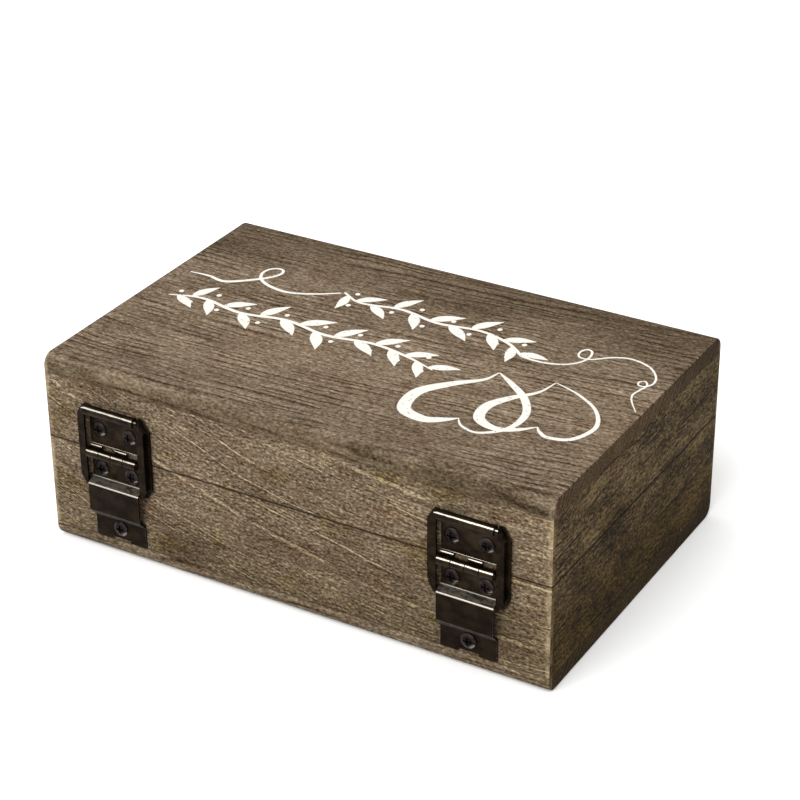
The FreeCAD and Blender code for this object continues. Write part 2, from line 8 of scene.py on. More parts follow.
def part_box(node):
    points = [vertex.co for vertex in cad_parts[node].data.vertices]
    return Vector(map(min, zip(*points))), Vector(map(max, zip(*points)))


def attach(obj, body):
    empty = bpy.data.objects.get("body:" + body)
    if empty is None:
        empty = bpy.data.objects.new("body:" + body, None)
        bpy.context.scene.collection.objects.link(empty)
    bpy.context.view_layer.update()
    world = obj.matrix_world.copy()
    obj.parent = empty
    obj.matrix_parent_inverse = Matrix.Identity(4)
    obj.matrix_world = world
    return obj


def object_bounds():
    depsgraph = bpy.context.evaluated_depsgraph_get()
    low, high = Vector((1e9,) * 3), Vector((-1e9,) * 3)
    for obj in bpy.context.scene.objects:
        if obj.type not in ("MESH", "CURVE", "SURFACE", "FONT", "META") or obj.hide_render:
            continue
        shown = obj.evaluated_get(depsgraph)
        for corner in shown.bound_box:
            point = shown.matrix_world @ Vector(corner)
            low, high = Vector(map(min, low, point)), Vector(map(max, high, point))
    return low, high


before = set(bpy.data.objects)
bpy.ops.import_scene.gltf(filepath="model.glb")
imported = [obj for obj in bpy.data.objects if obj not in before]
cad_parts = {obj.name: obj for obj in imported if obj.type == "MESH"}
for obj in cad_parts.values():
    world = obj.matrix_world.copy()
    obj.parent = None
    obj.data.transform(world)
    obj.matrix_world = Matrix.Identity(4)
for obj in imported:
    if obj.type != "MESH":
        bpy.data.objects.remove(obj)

cad_low, cad_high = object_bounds()


# ---------------------------------------------------------------- the boards
# Ten sawn boards of pale softwood, glued up as one closed box, sawn in two along the seam and
# wiped with a thin grey-brown stain. The stain sits darkest in the soft grain and the pores.
def tone(red, green, blue):
    """A colour read off a paint chart (0 to 255 a channel) as the shader's linear values."""
    chart = np.array([red, green, blue]) / 255
    linear = np.where(chart <= 0.04045, chart / 12.92, ((chart + 0.055) / 1.055) ** 2.4)
    return (*linear.tolist(), 1.0)


def fit(tree, kind, *inputs, **settings):
    """One shader node with its inputs filled in order: a number, a colour or another's socket."""
    node = tree.nodes.new("ShaderNode" + kind)
    for key, value in settings.items():
        setattr(node, key, value)
    for socket, value in zip(node.inputs, inputs):
        if isinstance(value, bpy.types.NodeSocket):
            tree.links.new(value, socket)
        elif value is not None:
            socket.default_value = value
    return node.outputs[0]


def sums(tree, operation, *inputs):
    """One step of arithmetic between sockets and numbers."""
    return fit(tree, "Math", *inputs, operation=operation)


def sway(tree, value, layer, weight):
    """A value plus a weighted layer of noise, which swings either way about its middle, 0.5."""
    return sums(tree, "MULTIPLY_ADD", sums(tree, "SUBTRACT", layer, 0.5), weight, value)


def split(tree, vector):
    """The three parts of a place or a direction, picked by letter."""
    node = tree.nodes.new("ShaderNodeSeparateXYZ")
    tree.links.new(vector, node.inputs[0])
    return node.outputs


def fade(tree, value, start, end, low=0.0, high=1.0):
    """Low up to start, high past end, and an S-shaped ease between them."""
    return fit(tree, "MapRange", value, start, end, low, high, interpolation_type="SMOOTHSTEP")


def lay_over(tree, share, under, over, how="MIX"):
    """One colour laid over another by a share from 0 to 1."""
    node = tree.nodes.new("ShaderNodeMix")
    node.data_type = "RGBA"
    node.blend_type = how
    for socket, value in ((node.inputs[0], share), (node.inputs[6], under), (node.inputs[7], over)):
        if isinstance(value, bpy.types.NodeSocket):
            tree.links.new(value, socket)
        else:
            socket.default_value = value
    return node.outputs[2]


def steps(tree, value, stops):
    """A run of colours or greys along 0 to 1: each stop is its place and its tone."""
    node = tree.nodes.new("ShaderNodeValToRGB")
    tree.links.new(value, node.inputs[0])
    marks = node.color_ramp.elements
    while len(marks) < len(stops):
        marks.new(0.5)
    for mark, (place, shade) in zip(marks, stops):
        mark.position = place
        mark.color = shade if isinstance(shade, tuple) else (shade, shade, shade, 1.0)
    return node.outputs[0]


def cloud(tree, place, lengths, detail=2.0, rough=0.5, shift=0.0):
    """Soft noise from 0 to 1 whose blotches are about as long, in millimetres, as lengths says."""
    scaled = fit(tree, "Mapping", place, (shift, shift * 0.37, -shift), (0, 0, 0),
                 tuple(1 / length for length in lengths))
    return fit(tree, "TexNoise", scaled, None, 1.0, detail, rough)


def add_relief(tree, shader, height, strength, depth):
    """Gives a finish its fine relief; the depth is in metres."""
    bump = tree.nodes.new("ShaderNodeBump")
    bump.inputs["Strength"].default_value = strength
    bump.inputs["Distance"].default_value = depth
    tree.links.new(height, bump.inputs["Height"])
    tree.links.new(bump.outputs[0], shader.inputs["Normal"])


def new_finish(name):
    """An empty material with its shader and the place on the piece in millimetres."""
    finish = bpy.data.materials.new(name)
    finish.use_nodes = True
    tree = finish.node_tree
    tree.nodes.clear()
    shader = tree.nodes.new("ShaderNodeBsdfPrincipled")
    output = tree.nodes.new("ShaderNodeOutputMaterial")
    tree.links.new(shader.outputs[0], output.inputs[0])
    spot = tree.nodes.new("ShaderNodeTexCoord")
    scaled = fit(tree, "Mapping", spot.outputs["Object"], (0, 0, 0), (0, 0, 0), (1000, 1000, 1000))
    return finish, tree, shader, scaled, spot.outputs["Normal"]


# Heights of the glue joints and the saw line, and where |across| + |along| reaches a vertical corner.
BOTTOM_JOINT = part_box("base_bottom_panel")[1].z * 1000
TOP_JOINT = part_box("lid_top_panel")[0].z * 1000
SEAM = (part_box("base_back_wall")[1].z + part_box("lid_back_wall")[0].z) * 500
CORNER = (cad_high[0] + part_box("base_back_wall")[1].y) * 1000
WEAR_AND_HIGHLIGHT_STARTS, WEAR_AND_HIGHLIGHT_FULL = 2.4, 0.9    # in from the corner
# Each dark line, dark glue with painted shade in the crack at a glue joint and painted shade in the gap
# at the saw line: its height, its half width in millimetres, and how dark it is.
JOINT_LINES = ((BOTTOM_JOINT, 0.45, 0.5), (TOP_JOINT, 0.4, 0.3), (SEAM, 0.75, 0.75))
JOINT_CORE = 0.15
# The grain's features along the board, up its face and into it, in millimetres.
WANDER_SIZE = (70, 26, 26)
BLOTCH_SIZE = (34, 17, 17)
DRIFT_SIZE = (22, 13, 13)
FIBRE_SIZE = (13, 0.9, 0.9)
FLECK_SIZE = (3.4, 0.95, 0.95)
SPECK_SIZE = (1.3, 0.75, 0.75)
PORE_SIZE = (2.6, 0.4, 0.4)
SHADE_WANDER = 34.0
RING_WARP = 2.2
CLOSE_RING = [(0.0, 0.5), (0.3, 0.62), (0.5, 0.95), (0.62, 0.5), (0.82, 0.0), (1.0, 0.5)]
BOARD_RELIEF = 0.00022


def stained_board(name, axes, growth, rings, tones, patches, shade, ends=None, edges=None):
    """Stained softwood, sawn so that its growth rings cross the face as lines.

    The growth height is: height across the face + slope x run + bow x run squared + slow wander
    + quick ripple + a share of the depth into the board. Its fraction after division by the ring
    spacing runs 0 to 1 through each ring, and the ring's tone is read from that fraction. Close
    lines come the same way from a multiple of the height. Fibres, flecks and specks add to it.
    """
    finish, tree, shader, place, normal = new_finish(name)
    parts = split(tree, place)
    run, height, deep = (parts[letter] for letter in axes)
    board = fit(tree, "CombineXYZ", run, height, deep)
    seed = growth["seed"]

    wander = cloud(tree, board, WANDER_SIZE, 2.0, 0.5, seed)
    ripple = cloud(tree, board, growth["ripple_size"], 2.0, 0.6, seed + 3)
    bent = sums(tree, "MULTIPLY_ADD", sums(tree, "MULTIPLY", run, growth["bow"]), run,
                sums(tree, "MULTIPLY_ADD", run, growth["slope"], height))
    rise = sway(tree, bent, wander, growth["wander"])
    rise = sway(tree, rise, ripple, growth["ripple"])
    rise = sums(tree, "MULTIPLY_ADD", deep, growth["dip"], rise)
    rise = sums(tree, "DIVIDE", rise, growth["spacing"])
    uneven = fit(tree, "TexNoise", fit(tree, "CombineXYZ", rise, seed, 0.0), None, 0.45, 1.0, 0.5)
    rise = sums(tree, "MULTIPLY_ADD", uneven, RING_WARP, rise)
    ring = steps(tree, sums(tree, "FRACT", rise, 0.0), rings)
    close = steps(tree, sums(tree, "FRACT", sums(tree, "MULTIPLY", rise, growth["close"]), 0.0),
                  CLOSE_RING)

    strength = fade(tree, cloud(tree, board, (30, 13, 13), 3.0, 0.6, seed + 7), 0.40, 0.62,
                    growth["faint"], growth["strong"])
    close_strength = fade(tree, cloud(tree, board, (44, 17, 17), 3.0, 0.6, seed + 29), 0.44, 0.62,
                          0.0, growth["close_strong"])
    fibre = cloud(tree, board, FIBRE_SIZE, 5.0, 0.62, seed + 11)
    flecks = cloud(tree, board, FLECK_SIZE, 3.0, 0.65, seed + 13)
    specks = cloud(tree, board, SPECK_SIZE, 2.0, 0.6, seed + 37)
    blotch = cloud(tree, board, BLOTCH_SIZE, 3.0, 0.5, seed + 17)
    value = sway(tree, 0.5, ring, strength)
    value = sway(tree, value, close, close_strength)
    for layer, weight in zip((fibre, flecks, specks, blotch), growth["weights"]):
        value = sway(tree, value, layer, weight)
    colour = steps(tree, value, tones)

    drift = cloud(tree, board, DRIFT_SIZE, 3.0, 0.55, seed + 19)
    olive_share = fade(tree, drift, 0.52, 0.70, 0.0, 0.45)
    russet_share = fade(tree, drift, 0.48, 0.30, 0.0, 0.35)
    colour = lay_over(tree, olive_share, colour, patches[0], "SOFT_LIGHT")
    colour = lay_over(tree, russet_share, colour, patches[1], "SOFT_LIGHT")
    pores = cloud(tree, board, PORE_SIZE, 2.0, 0.5, seed + 23)
    pore_share = fade(tree, pores, 0.38, 0.28, 0.0, 0.7)
    colour = lay_over(tree, pore_share, colour, tones[0][1])

    # Painted shade: each entry of shade darkens the colour along one axis of the piece by its tint, a
    # gradient that a blotchy wobble moves; a tint over one lightens it instead.
    for axis, start, end, tint in shade:
        wobble = sway(tree, parts[axis], blotch, SHADE_WANDER)
        colour = lay_over(tree, fade(tree, wobble, start, end), colour, (*tint, 1.0), "MULTIPLY")
    # Faces turned along X or Y get their own tint: on X darker end grain, which soaks up more stain, and
    # on Y painted shade on the long edges.
    facing = split(tree, normal)
    for letter, stain_and_shade in (("X", ends), ("Y", edges)):
        if stain_and_shade:
            side = sums(tree, "ABSOLUTE", facing[letter])
            colour = lay_over(tree, fade(tree, side, 0.45, 0.92), colour, (*stain_and_shade, 1.0), "MULTIPLY")

    # A lighter band down each vertical corner, ragged by noise: rubbed wood with a painted highlight on
    # the corner's round.
    out = [sums(tree, "ABSOLUTE", parts[letter]) for letter in "XY"]
    corner = sums(tree, "ADD", *out)
    worn = fade(tree, corner, CORNER - WEAR_AND_HIGHLIGHT_STARTS, CORNER - WEAR_AND_HIGHLIGHT_FULL)
    ragged = cloud(tree, place, (3.0, 3.0, 7.0), 3.0, 0.6, seed + 41)
    rubbed_and_highlight = sums(tree, "MULTIPLY", worn, fade(tree, ragged, 0.36, 0.62, 0.05, 0.5))
    colour = lay_over(tree, rubbed_and_highlight, colour, tones[-1][1])
    # Dark lines at the glue joints and the saw line: painted shade in the cracks, over dark glue at the
    # joints.
    for level, reach, share in JOINT_LINES:
        near = sums(tree, "ABSOLUTE", sums(tree, "SUBTRACT", parts["Z"], level))
        colour = lay_over(tree, fade(tree, near, reach, JOINT_CORE, 0.0, share), colour, tones[0][1])
    tree.links.new(colour, shader.inputs["Base Color"])

    sheen = sums(tree, "MULTIPLY_ADD", fibre, 0.22, 0.60)
    tree.links.new(sums(tree, "MULTIPLY_ADD", pore_share, 0.25, sheen), shader.inputs["Roughness"])
    shader.inputs["Specular IOR Level"].default_value = 0.04
    relief = sums(tree, "MULTIPLY_ADD", ring, 0.3, sums(tree, "MULTIPLY", fibre, 0.8))
    relief = sums(tree, "MULTIPLY_ADD", close, 0.2, relief)
    relief = sums(tree, "MULTIPLY_ADD", flecks, 0.6, sums(tree, "SUBTRACT", relief, pore_share))
    add_relief(tree, shader, relief, 0.6, BOARD_RELIEF)
    return finish


def put_on(finish, *nodes):
    """Gives CAD nodes a finish in place of the plain one they came with."""
    for node in nodes:
        for material_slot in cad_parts[node].material_slots:
            material_slot.material = finish


# The walls at the back and front show wide growth with thin pale lines running downhill.
pale_lines = [(0.0, 0.48), (0.50, 0.53), (0.78, 0.42), (0.85, 0.36), (0.90, 1.0), (0.94, 0.9),
              (0.97, 0.30), (1.0, 0.44)]
wall_tones = [(0.0, tone(38, 28, 18)), (0.28, tone(71, 58, 43)), (0.5, tone(97, 83, 67)),
              (0.70, tone(118, 104, 86)), (1.0, tone(165, 149, 117))]
olive, russet = tone(150, 142, 78), tone(142, 104, 94)
back_growth = dict(seed=4.0, slope=-0.25, bow=-0.0015, wander=7.0, ripple=0.8, ripple_size=(7, 3, 3),
                   dip=0.8, spacing=8.2, faint=0.0, strong=0.8, close=5.0, close_strong=0.34,
                   weights=(0.6, 1.0, 1.7, 0.4))
# Painted shade: the walls darker towards the bottom and a little towards −X; the last entry makes them
# lighter again near the −X end.
low_wall = [("Z", 40.0, 4.0, (0.62, 0.61, 0.56)), ("X", 40.0, -60.0, (0.90, 0.90, 0.88)),
            ("X", -84.0, -112.0, (1.5, 1.5, 1.42))]
put_on(stained_board("stained_back_wall", "XZY", back_growth, pale_lines, wall_tones,
                     (olive, russet), low_wall), "base_back_wall", "lid_back_wall")
front_growth = dict(back_growth, seed=31.0, slope=0.10, bow=0.0007, spacing=7.4)
put_on(stained_board("stained_front_wall", "XZY", front_growth, pale_lines, wall_tones,
                     (olive, russet), low_wall), "base_front_wall", "lid_front_wall")

# The ends are a straighter board with dark autumn growth lines from front to back. Their tones are
# darker than the walls': partly the board's own colour, partly painted shade for an end turned from the
# light.
dark_lines = [(0.0, 0.55), (0.60, 0.60), (0.82, 0.50), (0.90, 0.0), (0.94, 0.1), (0.97, 0.8), (1.0, 0.60)]
end_tones = [(0.0, tone(18, 12, 5)), (0.28, tone(44, 33, 18)), (0.5, tone(65, 52, 32)),
             (0.70, tone(80, 66, 43)), (1.0, tone(108, 91, 64))]
end_growth = dict(seed=52.0, slope=0.02, bow=0.0002, wander=12.0, ripple=1.1, ripple_size=(9, 3, 3),
                  dip=0.8, spacing=7.0, faint=0.1, strong=0.85, close=4.0, close_strong=0.40,
                  weights=(1.0, 1.4, 2.2, 1.2))
# Painted shade: the ends darker and more olive towards the bottom.
low_end_painted_shade = [("Z", 52.0, 14.0, (0.50, 0.44, 0.22))]
put_on(stained_board("stained_left_end", "YZX", end_growth, dark_lines, end_tones,
                     (olive, russet), low_end_painted_shade), "base_left_end", "lid_left_end")
right_growth = dict(end_growth, seed=77.0, slope=-0.05, spacing=6.8)
put_on(stained_board("stained_right_end", "YZX", right_growth, dark_lines, end_tones,
                     (olive, russet), low_end_painted_shade), "base_right_end", "lid_right_end")

# The lid's top and the bottom are quarter-sawn: close wavy lines along the box, and dark end grain.
close_lines = [(0.0, 0.42), (0.35, 0.66), (0.62, 0.62), (0.84, 0.12), (0.92, 0.2), (1.0, 0.42)]
top_tones = [(0.0, tone(46, 34, 22)), (0.28, tone(80, 66, 50)), (0.5, tone(106, 91, 74)),
             (0.70, tone(126, 111, 93)), (1.0, tone(164, 147, 124))]
grey, warm = tone(122, 118, 108), tone(136, 112, 92)
top_growth = dict(seed=9.0, slope=-0.05, bow=0.0004, wander=10.0, ripple=0.9, ripple_size=(6, 4, 4),
                  dip=0.9, spacing=2.9, faint=0.12, strong=1.0, close=2.0, close_strong=0.10,
                  weights=(0.5, 0.7, 1.35, 0.4))
# Painted shade: the top darker towards its front and a little towards its back, and its long edges darker
# still; its ends are dark end grain.
far_side_painted_shade = [("Y", -8.0, -58.0, (0.60, 0.58, 0.54)), ("Y", 32.0, 64.0, (0.86, 0.87, 0.87))]
end_grain, edge_painted_shade = (0.36, 0.30, 0.20), (0.70, 0.69, 0.64)
put_on(stained_board("stained_top", "XYZ", top_growth, close_lines, top_tones, (grey, warm),
                     far_side_painted_shade, end_grain, edge_painted_shade), "lid_top_panel")
bottom_growth = dict(top_growth, seed=64.0, slope=0.04, spacing=3.3)
put_on(stained_board("stained_bottom", "XYZ", bottom_growth, close_lines, wall_tones, (olive, warm),
                     far_side_painted_shade, (0.22, 0.18, 0.10)), "base_bottom_panel")


# ---------------------------------------------------------------- the print on the lid
# A white screen print on the lid's top: two linked hearts between leafy sprigs and thin flourishes.
# The ink is a film under two hundredths of a millimetre thick, worn through in small pinholes.
TOP_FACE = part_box("lid_top_panel")[1].z * 1000
INK_CROWN = 0.010
# Each second stroke lies a little higher, and each climbs as it runs, so that none share a surface.
STROKE_STAGGER = 0.006
STROKE_CLIMB = 0.0015
LEAST_WIDTH = 0.12
PROFILE_ACROSS = np.array([-0.5, -0.42, 0.0, 0.42, 0.5, 0.0])
PROFILE_RISE = np.array([0.0, 0.7, 1.0, 0.7, 0.0, -0.5])
# Marks to a leaf or berry; leans in degrees; lengths in millimetres or shares of the leaf's length.
MARKS_EACH = 7
LEAF_BOW, LEAF_SLIM, LEAF_STALK = 0.05, 0.32, 0.25
LEAF_LEAN, LEAF_LEAN_LOST = 52, 12
BERRY_SIZE, BERRY_STALK, BERRY_LEAN = 1.9, 0.15, 78
BERRY_OUT, BERRY_OUT_STEP = 3.6, 0.8
INK_RELIEF = 0.00008     # metres


def through(points, count):
    """A smooth line through points: between each pair a cubic whose slope at a point is half
    the way from its neighbour before to its neighbour after (ends repeat their own point)."""
    points = np.asarray(points, float)
    padded = np.vstack([2 * points[0] - points[1], points, 2 * points[-1] - points[-2]])
    at = np.linspace(0, len(points) - 1, (len(points) - 1) * count + 1)
    first = np.minimum(at.astype(int), len(points) - 2)
    t = (at - first)[:, None]
    a, b, c, d = (padded[first + k] for k in range(4))
    bend = (2 * a - 5 * b + 4 * c - d) * t ** 2
    twist = (3 * b - a - 3 * c + d) * t ** 3
    return 0.5 * (2 * b + (c - a) * t + bend + twist)


def brush_stroke(marks, level, count=14):
    """One stroke of ink: a flat lens carried along a smooth line through the marks.

    Each mark is across, along and the stroke's width there, in millimetres. The profile's six
    points are the two edges on the wood, the two shoulders, the crown, and one point below.
    """
    line = through(marks, count)
    centre = line[:, :2]
    width = np.maximum(line[:, 2:3], LEAST_WIDTH)
    forward = np.gradient(centre, axis=0)
    forward /= np.linalg.norm(forward, axis=1, keepdims=True)
    side = np.stack([forward[:, 1], -forward[:, 0]], 1)
    flat = centre[:, None] + side[:, None] * width[:, None] * PROFILE_ACROSS[None, :, None]
    climb = np.linspace(0, STROKE_CLIMB, len(line))[:, None]
    lift = TOP_FACE + PROFILE_RISE * INK_CROWN + level + climb
    points = np.dstack([flat, lift]).reshape(-1, 3)
    rings, round_ = len(line), len(PROFILE_ACROSS)
    i, j = np.meshgrid(np.arange(rings - 1), np.arange(round_), indexing="ij")
    k = (j + 1) % round_
    faces = np.stack([i * round_ + j, i * round_ + k, (i + 1) * round_ + k, (i + 1) * round_ + j], -1)
    last = (rings - 1) * round_
    caps = [list(range(round_))[::-1], [last + n for n in range(round_)]]
    return points, faces.reshape(-1, 4).tolist() + caps


def leaf_marks(root, angle, length, width):
    """Marks of one leaf: it leaves its stem at an angle, bows a little and ends in a point."""
    share = np.linspace(0, 1, MARKS_EACH)
    bow = LEAF_BOW * length * np.sin(np.pi * share)
    turn = np.radians(angle)
    along = np.array([np.cos(turn), np.sin(turn)])
    across = np.array([-np.sin(turn), np.cos(turn)])
    middle = np.asarray(root) + np.outer(share * length, along) + np.outer(bow, across)
    return np.column_stack([middle, LEAF_STALK + width * np.sin(np.pi * share ** 0.8) ** 1.1])


def berry_marks(centre, size):
    """Marks of a berry: a short stroke as wide as it is long, so that it reads as a dot."""
    share = np.linspace(-1, 1, MARKS_EACH)
    across = np.full(MARKS_EACH, centre[1])
    return np.column_stack([centre[0] + share * size / 2, across,
                            BERRY_STALK + size * np.sqrt(np.maximum(1 - share ** 2, 0))])


def sprig(stem, leaves, size):
    """A stem with leaves in turn on either side, smaller towards its ends, and berries between."""
    strokes = [np.asarray(stem, float)]
    line = through(stem, 40)
    for number in range(leaves):
        share = (number + 0.6) / leaves
        at = line[int(share * (len(line) - 2))]
        ahead = line[int(share * (len(line) - 2)) + 1] - at
        heading = math.degrees(math.atan2(ahead[1], ahead[0]))
        side = 1 if number % 2 else -1
        length = size * (1.0 - 0.35 * abs(share - 0.5))
        lean = side * (LEAF_LEAN - LEAF_LEAN_LOST * share)
        strokes.append(leaf_marks(at[:2], heading + lean, length, length * LEAF_SLIM))
        out = math.radians(heading - side * BERRY_LEAN)
        far = BERRY_OUT + BERRY_OUT_STEP * (number % 3)
        berry = at[:2] + far * np.array([math.cos(out), math.sin(out)])
        strokes.append(berry_marks(berry, BERRY_SIZE))
    return strokes


def build_mesh(name, parts, finish):
    """Joins shells into one mesh piece, in metres."""
    points, faces, start = [], [], 0
    for part_points, part_faces in parts:
        points.append(part_points)
        faces += [[start + corner for corner in face] for face in part_faces]
        start += len(part_points)
    mesh = bpy.data.meshes.new(name)
    mesh.from_pydata((np.vstack(points) / 1000).tolist(), [], faces)
    mesh.materials.append(finish)
    mesh.polygons.foreach_set("use_smooth", np.full(len(faces), True))
    mesh.update()
    piece = bpy.data.objects.new(name, mesh)
    bpy.context.scene.collection.objects.link(piece)
    return piece


def worn_white_ink():
    """White ink with pinholes where the stained wood shows, and a slightly thin, warm film."""
    finish, tree, shader, place, _ = new_finish("worn_white_ink")
    pinholes = fade(tree, cloud(tree, place, (1.3, 0.9, 9.0), 3.0, 0.6, 2.0), 0.63, 0.67, 0.0, 0.8)
    thin = fade(tree, cloud(tree, place, (5.0, 1.6, 9.0), 3.0, 0.6, 6.0), 0.40, 0.75, 0.0, 0.16)
    ink = lay_over(tree, thin, tone(216, 212, 204), tone(178, 166, 148))
    tree.links.new(lay_over(tree, pinholes, ink, tone(104, 88, 70)), shader.inputs["Base Color"])
    shader.inputs["Roughness"].default_value = 0.55
    shader.inputs["Specular IOR Level"].default_value = 0.3
    add_relief(tree, shader, cloud(tree, place, (3.0, 0.5, 9.0), 3.0, 0.6, 8.0), 0.3, INK_RELIEF)
    return finish


white_ink = worn_white_ink()

# Each heart is two strokes from its point round a lobe to the notch, broad on the near lobe.
near_heart = [
    [(-45.0, -1.5, 0.5), (-42.6, 5.5, 1.6), (-34.5, 13.5, 3.4), (-27.2, 24.0, 4.7), (-28.8, 36.0, 4.9),
     (-37.6, 39.4, 4.2), (-44.0, 36.6, 2.8), (-48.4, 33.0, 0.3)],
    [(-45.0, -1.5, 0.5), (-53.0, 4.0, 2.4), (-61.0, 10.8, 2.9), (-66.4, 20.5, 2.8), (-65.6, 31.5, 2.0),
     (-58.4, 38.6, 1.3), (-51.6, 37.4, 1.0), (-48.0, 33.4, 0.4)],
]
far_heart = [
    [(-65.2, -4.6, 0.4), (-63.0, 4.4, 1.3), (-57.0, 12.0, 2.8), (-52.4, 21.0, 4.0), (-54.0, 29.8, 4.0),
     (-61.4, 33.4, 3.0), (-68.2, 30.8, 2.2), (-73.6, 25.8, 0.4)],
    [(-65.2, -4.6, 0.4), (-75.8, -0.6, 1.0), (-85.4, 6.4, 1.3), (-90.4, 16.8, 1.7), (-87.0, 27.4, 1.9),
     (-79.8, 30.2, 1.7), (-75.8, 28.4, 1.3), (-73.4, 25.6, 0.4)],
]
flourishes = [
    [(92.9, -15.3, 0.5), (85.0, -15.7, 1.2), (77.1, -14.6, 1.7), (69.3, -20.3, 1.6), (64.3, -25.6, 1.4),
     (62.2, -30.0, 1.2), (63.2, -33.0, 1.1), (66.0, -33.2, 1.1), (68.4, -30.6, 1.1), (68.4, -26.2, 1.2),
     (65.2, -21.8, 1.4), (58.6, -18.9, 1.5), (51.4, -18.4, 1.4), (42.9, -21.7, 1.2), (34.3, -27.4, 0.8)],
    [(-45.7, -16.0, 1.3), (-51.4, -15.3, 1.1), (-57.1, -16.0, 1.0), (-62.4, -18.4, 0.9),
     (-65.8, -22.4, 0.9), (-66.9, -26.6, 0.9), (-65.9, -30.8, 0.9), (-63.6, -31.6, 0.9),
     (-62.3, -28.8, 0.8), (-63.6, -25.4, 0.8), (-67.9, -25.6, 0.8), (-74.3, -30.8, 0.9),
     (-80.7, -32.7, 0.9), (-88.0, -30.4, 0.9), (-92.8, -25.2, 0.8), (-94.2, -20.2, 0.8),
     (-92.6, -17.0, 0.8), (-90.2, -16.8, 0.7), (-89.5, -19.0, 0.7), (-91.3, -20.2, 0.7),
     (-92.9, -17.6, 0.8), (-92.0, -13.4, 0.8), (-91.4, -9.6, 0.7), (-93.0, -5.4, 0.6),
     (-97.4, 0.8, 0.3)],
]
upper_stem = [(33.6, -28.4, 0.9), (24.0, -24.0, 1.3), (8.0, -26.6, 1.5), (-8.0, -23.6, 1.5),
              (-24.0, -25.8, 1.4), (-37.0, -22.4, 1.4), (-46.0, -16.0, 1.3)]
lower_stem = [(89.0, 4.4, 0.6), (76.0, 1.0, 1.5), (58.0, 4.2, 1.6), (40.0, 1.0, 1.6), (22.0, 4.0, 1.6),
              (4.0, 1.4, 1.5), (-11.0, 3.8, 1.3), (-24.0, 8.2, 0.6)]
strokes = near_heart + far_heart + flourishes + sprig(upper_stem, 12, 13.5) + sprig(lower_stem, 16, 14.0)
print_shells = [brush_stroke(marks, STROKE_STAGGER * (number % 2))
                for number, marks in enumerate(strokes)]
lid_print = build_mesh("lid_print", print_shells, white_ink)
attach(lid_print, "lid")


# ---------------------------------------------------------------- the hinges' metal
# Both hinges are stamped from thin steel sheet, plated and darkened to an old bronze with a cloudy
# brown film. Surfaces that face up and out towards the light are painted pale metal, a painted highlight.
HIGHLIGHT_WANDER = 0.035       # how far the fine noise moves the painted highlight's limit
HIGHLIGHT_SMOOTHS = -0.14    # change of roughness under the painted highlight
METAL_RELIEF = 0.00008   # metres


def old_bronze(name, film, glow, painted_highlight_tone, rough, highlight_toward=(0.0, 0.72, 0.694), reach=(0.981, 0.998),
               edge_wear_and_highlight_share=0.0, highlight_bands=()):
    """Darkened plating with a painted highlight: pale metal where the surface leans towards the light,
    by the dot product of its normal with that direction, above a limit that a fine noise moves.
    Edges that lean between two of the three main directions get it by a share of their own, as edge
    wear with a painted highlight, and bands, each a height and its half width, keep it to narrow lines."""
    finish, tree, shader, place, normal = new_finish(name)
    # Painted highlight: pale metal where the normal points towards the light's direction.
    dot = tree.nodes.new("ShaderNodeVectorMath")
    dot.operation = "DOT_PRODUCT"
    tree.links.new(normal, dot.inputs[0])
    dot.inputs[1].default_value = highlight_toward
    patchy = cloud(tree, place, (2.4, 1.1, 0.9), 4.0, 0.6, 1.0)
    facing = sway(tree, dot.outputs["Value"], patchy, HIGHLIGHT_WANDER)
    painted_highlight = fade(tree, facing, *reach)
    # Highlight bands keep the painted highlight to narrow lines on faces turned up; elsewhere a faint
    # patchy share of it stays.
    if highlight_bands:
        faint_painted_highlight = sums(tree, "MULTIPLY", painted_highlight, fade(tree, patchy, 0.32, 0.62, 0.0, 0.06))
        up = split(tree, place)["Z"]
        lines = None
        for level, half in highlight_bands:
            near = sums(tree, "ABSOLUTE", sums(tree, "SUBTRACT", up, level))
            line = fade(tree, near, half, half * 0.5)
            lines = line if lines is None else sums(tree, "MAXIMUM", lines, line)
        painted_highlight = sums(tree, "MULTIPLY", lines, fade(tree, split(tree, normal)["Z"], 0.10, 0.35))
        painted_highlight = sums(tree, "MAXIMUM", painted_highlight, faint_painted_highlight)
    # Edges leaning between the main directions get pale metal: edge wear with a painted highlight.
    if edge_wear_and_highlight_share:
        lean = split(tree, fit(tree, "VectorMath", normal, operation="ABSOLUTE"))
        most = sums(tree, "MAXIMUM", sums(tree, "MAXIMUM", lean["X"], lean["Y"]), lean["Z"])
        edge_wear_and_highlight = fade(tree, most, 0.975, 0.94, 0.0, edge_wear_and_highlight_share)
        edge_wear_and_highlight = sums(tree, "MULTIPLY", edge_wear_and_highlight, fade(tree, patchy, 0.36, 0.58, 0.15, 1.0))
        painted_highlight = sums(tree, "MAXIMUM", painted_highlight, edge_wear_and_highlight)
    haze = cloud(tree, place, (4.5, 4.5, 3.6), 4.0, 0.6, 5.0)
    brown = lay_over(tree, fade(tree, haze, 0.36, 0.66), film, glow)
    specks = fade(tree, cloud(tree, place, (0.5, 0.5, 0.5), 2.0, 0.6, 9.0), 0.60, 0.72, 0.0, 0.5)
    brown = lay_over(tree, specks, brown, glow)
    tree.links.new(lay_over(tree, painted_highlight, brown, painted_highlight_tone), shader.inputs["Base Color"])
    shader.inputs["Metallic"].default_value = 1.0
    smears = cloud(tree, place, (2.2, 2.2, 7.0), 4.0, 0.65, 12.0)
    worn = sums(tree, "MULTIPLY_ADD", smears, 0.26, rough)
    tree.links.new(sums(tree, "MULTIPLY_ADD", painted_highlight, HIGHLIGHT_SMOOTHS, worn), shader.inputs["Roughness"])
    add_relief(tree, shader, cloud(tree, place, (0.9, 0.9, 0.9), 4.0, 0.6, 15.0), 0.35, METAL_RELIEF)
    return finish


